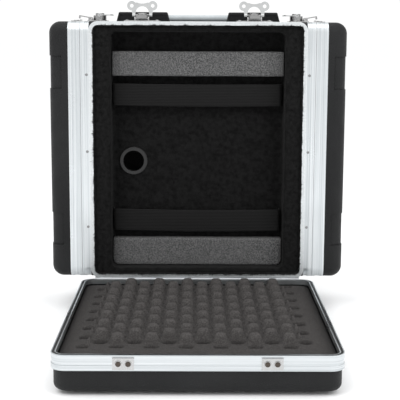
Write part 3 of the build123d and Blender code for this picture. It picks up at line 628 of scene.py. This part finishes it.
# Egg-crate foam of the lid: rounded pegs in staggered rows over a sheet with soft borders
PEG_PITCH = 60.0 * MM
PEG_ROW = 29.3 * MM
PEG_FIRST = -140.0 * MM
PEG_ROWS = 15
PEG_SHIFT = 29.5 * MM
PEG_SHIFT_X = -5 * MM
PEG_FOOT_WAVE = 0.12
PEG_WAVE_SPAN = 0.9
PEG_FIELD_HALF = 190 * MM
PEG_FIELD_MARGIN = 20 * MM
PEG_FADE_X = 8 * MM
PEG_FADE_Y = 12 * MM
PEG_HIGH = 16 * MM
PIT_WAVE = 0.25
PIT_WAVE_SPAN = 0.5
PIT_FIELD_HALF = 205 * MM
PIT_FIELD_MARGIN = 18 * MM
PIT_FADE = 8 * MM
PIT_DEEP = 18 * MM
BORDER_X = 42 * MM
BORDER_Y = 30 * MM
BORDER_DOWN = 15 * MM
BORDER_HIGH = 9 * MM
FOAM_STEP = 2.2 * MM
FOAM_CORNER = 18.0 * MM
FOAM_ROUGH = 0.35 * MM
FOAM_ROUGH_FINE = 0.006
FOAM_ROUGH_SIZE = 0.03
FOAM_ABOVE_SOLID = 2 * MM
FOAM_SIDE_FOOT = 14 * MM
FOAM_UNDERSIDE = 1 * MM
FOAM_UNDERSIDE_INSET = 12 * MM


def faded(distance, fade):
    """How far inside an edge each place lies, from 0 at the edge to 1 past the fade."""
    return np.clip(distance / fade, 0, 1)


def smooth_step(share):
    return share * share * (3 - 2 * share)


def foam_shares(x, y, half_x, half_y, middle_y):
    """Shares from 0 to 1 of the border's slope, the pegs' height and the pits' depth."""
    from_rows = y - middle_y - PEG_SHIFT
    row_phase = from_rows / PEG_ROW + (PEG_ROWS - 1) / 2
    wave = np.cos(2 * np.pi * (x - PEG_FIRST) / PEG_PITCH) * np.cos(np.pi * row_phase)
    peg = smooth_step(faded(wave + PEG_FOOT_WAVE, PEG_WAVE_SPAN))
    pit = faded(-wave - PIT_WAVE, PIT_WAVE_SPAN)
    off_x, off_y = np.abs(x - PEG_SHIFT_X), np.abs(from_rows)
    rows_end = (PEG_ROWS - 1) / 2 * PEG_ROW + PEG_FIELD_MARGIN
    pegs_x = faded(PEG_FIELD_HALF - off_x, PEG_FADE_X)
    pegs_y = faded(rows_end - off_y, PEG_FADE_Y)
    pits_x = faded(PIT_FIELD_HALF - off_x, PIT_FADE)
    pits_y = faded(rows_end + PIT_FIELD_MARGIN - off_y, PIT_FADE)
    border_x = faded(half_x - np.abs(x), BORDER_X)
    border_y = faded(half_y - np.abs(y - middle_y), BORDER_Y)
    border = np.sin(np.minimum(border_x, border_y) * np.pi / 2)
    return border, peg * smooth_step(pegs_x * pegs_y), pit * pits_x * pits_y


def lid_foam():
    """A closed block whose top is a height field of border, pegs and pits."""
    low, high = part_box("lid_foam")
    middle_y = (low.y + high.y) / 2
    half_x, half_y = (high.x - low.x) / 2, (high.y - low.y) / 2
    radius = FOAM_CORNER
    across = int(2 * half_x / FOAM_STEP)
    along = int(2 * half_y / FOAM_STEP)
    xs = np.linspace(-half_x, half_x, across + 1)
    ys = np.linspace(-half_y, half_y, along + 1)
    gx, gy = np.meshgrid(xs, ys)
    over_x = np.abs(gx) - (half_x - radius)
    over_y = np.abs(gy) - (half_y - radius)
    corner = (over_x > 0) & (over_y > 0)
    reach = np.hypot(over_x, over_y)
    square = np.maximum(over_x, over_y)
    scale = np.where(corner, square / np.maximum(reach, 1e-9), 1.0)
    gx = np.where(corner, np.sign(gx) * (half_x - radius + over_x * scale), gx)
    gy = np.where(corner, np.sign(gy) * (half_y - radius + over_y * scale), gy) + middle_y
    border, peg, pit = foam_shares(gx, gy, half_x, half_y, middle_y)
    top = RIM_Z - BORDER_DOWN + BORDER_HIGH * border + PEG_HIGH * peg - PIT_DEEP * pit
    rough = np.array(
        [
            clump((x, y, 0), FOAM_ROUGH_FINE) + clump((x, y, 9), FOAM_ROUGH_SIZE)
            for x, y in zip(gx.ravel(), gy.ravel())
        ]
    ).reshape(gx.shape)
    top = np.minimum(top + FOAM_ROUGH * rough, high.z + FOAM_ABOVE_SOLID)
    columns = across + 1
    points = list(zip(gx.ravel(), gy.ravel(), top.ravel()))
    faces = [
        (r * columns + c, r * columns + c + 1, (r + 1) * columns + c + 1, (r + 1) * columns + c)
        for r in range(along)
        for c in range(across)
    ]
    rim = list(range(columns))
    rim += [r * columns + across for r in range(1, along + 1)]
    rim += [along * columns + c for c in range(across - 1, -1, -1)]
    rim += [r * columns for r in range(along - 1, 0, -1)]
    floor_z = low.z + FOAM_UNDERSIDE
    for level, inset in ((low.z + FOAM_SIDE_FOOT, 0.0), (floor_z, FOAM_UNDERSIDE_INSET)):
        start = len(points)
        for index in rim:
            x, y = points[index][:2]
            points.append(
                (
                    x * (1 - inset / half_x),
                    middle_y + (y - middle_y) * (1 - inset / half_y),
                    level,
                )
            )
        below = list(range(start, start + len(rim)))
        for n in range(len(rim)):
            m = (n + 1) % len(rim)
            faces.append((rim[m], rim[n], below[n], below[m]))
        rim = below
    points.append((0.0, middle_y, floor_z))
    for n in range(len(rim)):
        faces.append((rim[(n + 1) % len(rim)], rim[n], len(points) - 1))
    piece = mesh_piece("egg_crate_foam", points, faces, "lid_foam")
    finish_normals(piece)
    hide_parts("lid_foam")
    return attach(piece, "lid")


# Domed rivets of the lid's catch plates
DOME_STEPS = 8
DOME_TIP = 0.02


def revolved(name, centre, axis, profile, material, steps=32):
    """A turned form: profile gives radius and height along the axis, from its foot up."""
    turn = Vector((0, 0, 1)).rotation_difference(Vector(axis)).to_matrix()
    points, faces = [], []
    for radius, height in profile:
        for n in range(steps):
            angle = 2 * math.pi * n / steps
            local = Vector((radius * math.cos(angle), radius * math.sin(angle), height))
            points.append(Vector(centre) + turn @ local)
    for ring in range(len(profile) - 1):
        for n in range(steps):
            m = (n + 1) % steps
            a, b = ring * steps, (ring + 1) * steps
            faces.append((a + n, a + m, b + m, b + n))
    faces.append(tuple(reversed(range(steps))))
    faces.append(tuple(range((len(profile) - 1) * steps, len(profile) * steps)))
    return mesh_piece(name, points, faces, material)


def dome_profile(radius, height, foot):
    """A shallow dome on a short straight foot."""
    rows = [(radius, 0.0), (radius, foot)]
    for step in range(1, DOME_STEPS + 1):
        angle = step / DOME_STEPS * math.pi / 2
        wide = max(radius * math.cos(angle), radius * DOME_TIP)
        rows.append((wide, foot + height * math.sin(angle)))
    return rows


CATCH_RIVET = 5.7 * MM
CATCH_RIVET_DOME = 1.6 * MM
CATCH_RIVET_FOOT = 0.4 * MM
CATCH_RIVET_SPAN = 16.6 * MM
CATCH_RIVET_DOWN = 14.5 * MM
CATCH_HALF_WIDTH = 18 * MM
CATCH_LIP_HIGH = 4.0 * MM
CATCH_PLATE = 1.5 * MM


def lid_catch_rivets():
    low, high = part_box("lid_catches")
    catch_x = high.x - CATCH_HALF_WIDTH
    foot_y = low.y + CATCH_LIP_HIGH - CATCH_PLATE
    profile = dome_profile(CATCH_RIVET, CATCH_RIVET_DOME, CATCH_RIVET_FOOT)
    for side in (-1, 1):
        for n, step in enumerate((-0.5, 0.5)):
            centre = (
                side * catch_x + step * CATCH_RIVET_SPAN,
                foot_y,
                RIM_Z - CATCH_RIVET_DOWN,
            )
            name = f"catch_rivet_{SIDES[side > 0]}_{n + 1}"
            piece = revolved(name, centre, (0, -1, 0), profile, "rivet")
            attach(piece, "lid")


# Camera, light and floor
IMAGE_SIZE = 400.0
FOCAL_PIXELS = 1072.1
SENSOR_MM = 36.0
EYE = Vector((-0.0072, FRONT_Y - 2.2611, BASE_Z + 0.5354))
PITCH_DOWN = math.radians(9.18)
YAW = math.radians(-0.317)
ROLL = math.radians(-0.26)
SKY_STRENGTH = 1.03
FLOOR_HALF = 40.0


def camera():
    data = bpy.data.cameras.new("camera")
    data.sensor_width = SENSOR_MM
    data.lens = FOCAL_PIXELS / IMAGE_SIZE * SENSOR_MM
    data.clip_end = 60.0
    rightward = Vector((math.cos(YAW), math.sin(YAW), 0))
    level = Vector((-math.sin(YAW), math.cos(YAW), 0))
    forward = level * math.cos(PITCH_DOWN) - Vector((0, 0, 1)) * math.sin(PITCH_DOWN)
    upward = level * math.sin(PITCH_DOWN) + Vector((0, 0, 1)) * math.cos(PITCH_DOWN)
    right = rightward * math.cos(ROLL) - upward * math.sin(ROLL)
    up = rightward * math.sin(ROLL) + upward * math.cos(ROLL)
    made = bpy.data.objects.new("camera", data)
    turned = Matrix((right, up, -forward)).transposed().to_4x4()
    made.matrix_world = Matrix.Translation(EYE) @ turned
    bpy.context.scene.collection.objects.link(made)
    bpy.context.scene.camera = made


def area_light(name, place, target, size, power):
    data = bpy.data.lights.new(name, "AREA")
    data.shape = "RECTANGLE"
    data.size, data.size_y = size
    data.energy = power
    lamp = bpy.data.objects.new(name, data)
    lamp.location = place
    aim = Vector(target) - Vector(place)
    lamp.rotation_euler = aim.to_track_quat("-Z", "Y").to_euler()
    bpy.context.scene.collection.objects.link(lamp)


def studio():
    world = bpy.data.worlds.new("studio")
    bpy.context.scene.world = world
    world.use_nodes = True
    sky = world.node_tree.nodes["Background"]
    sky.inputs["Color"].default_value = (1.0, 1.0, 1.0, 1.0)
    sky.inputs["Strength"].default_value = SKY_STRENGTH
    area_light("key_light", (-1.6, -1.9, 2.6), (0, 0, 0.3), (1.6, 1.6), 30.0)
    area_light("fill_light", (1.9, -1.7, 1.9), (0, 0, 0.3), (1.8, 1.8), 20.0)
    area_light("top_light", (0, -0.1, 3.0), (0, 0, 0), (2.4, 2.4), 20.0)
    mesh = bpy.data.meshes.new("floor")
    half = FLOOR_HALF
    corners = [(-half, -half, 0), (half, -half, 0), (half, half, 0), (-half, half, 0)]
    mesh.from_pydata(corners, [], [(0, 1, 2, 3)])
    shader = Shader("floor", (0.97, 0.975, 0.98), 0.9)
    shader.surface.inputs["Specular IOR Level"].default_value = 0.0
    mesh.materials.append(shader.material)
    floor = bpy.data.objects.new("floor", mesh)
    bpy.context.scene.collection.objects.link(floor)
    bpy.context.scene.view_settings.view_transform = "Standard"


camera()
studio()
plush_lining()
mouth_pile()
foam_pad("upper_foam_pad", "upper_pad")
foam_pad("lower_foam_pad", "lower_pad")
woven_strap("upper_strap", "upper_band", 1.5 * MM, 3)
woven_strap("lower_strap", "lower_band", 2.5 * MM, 5)
lid_foam()
lid_catch_rivets()
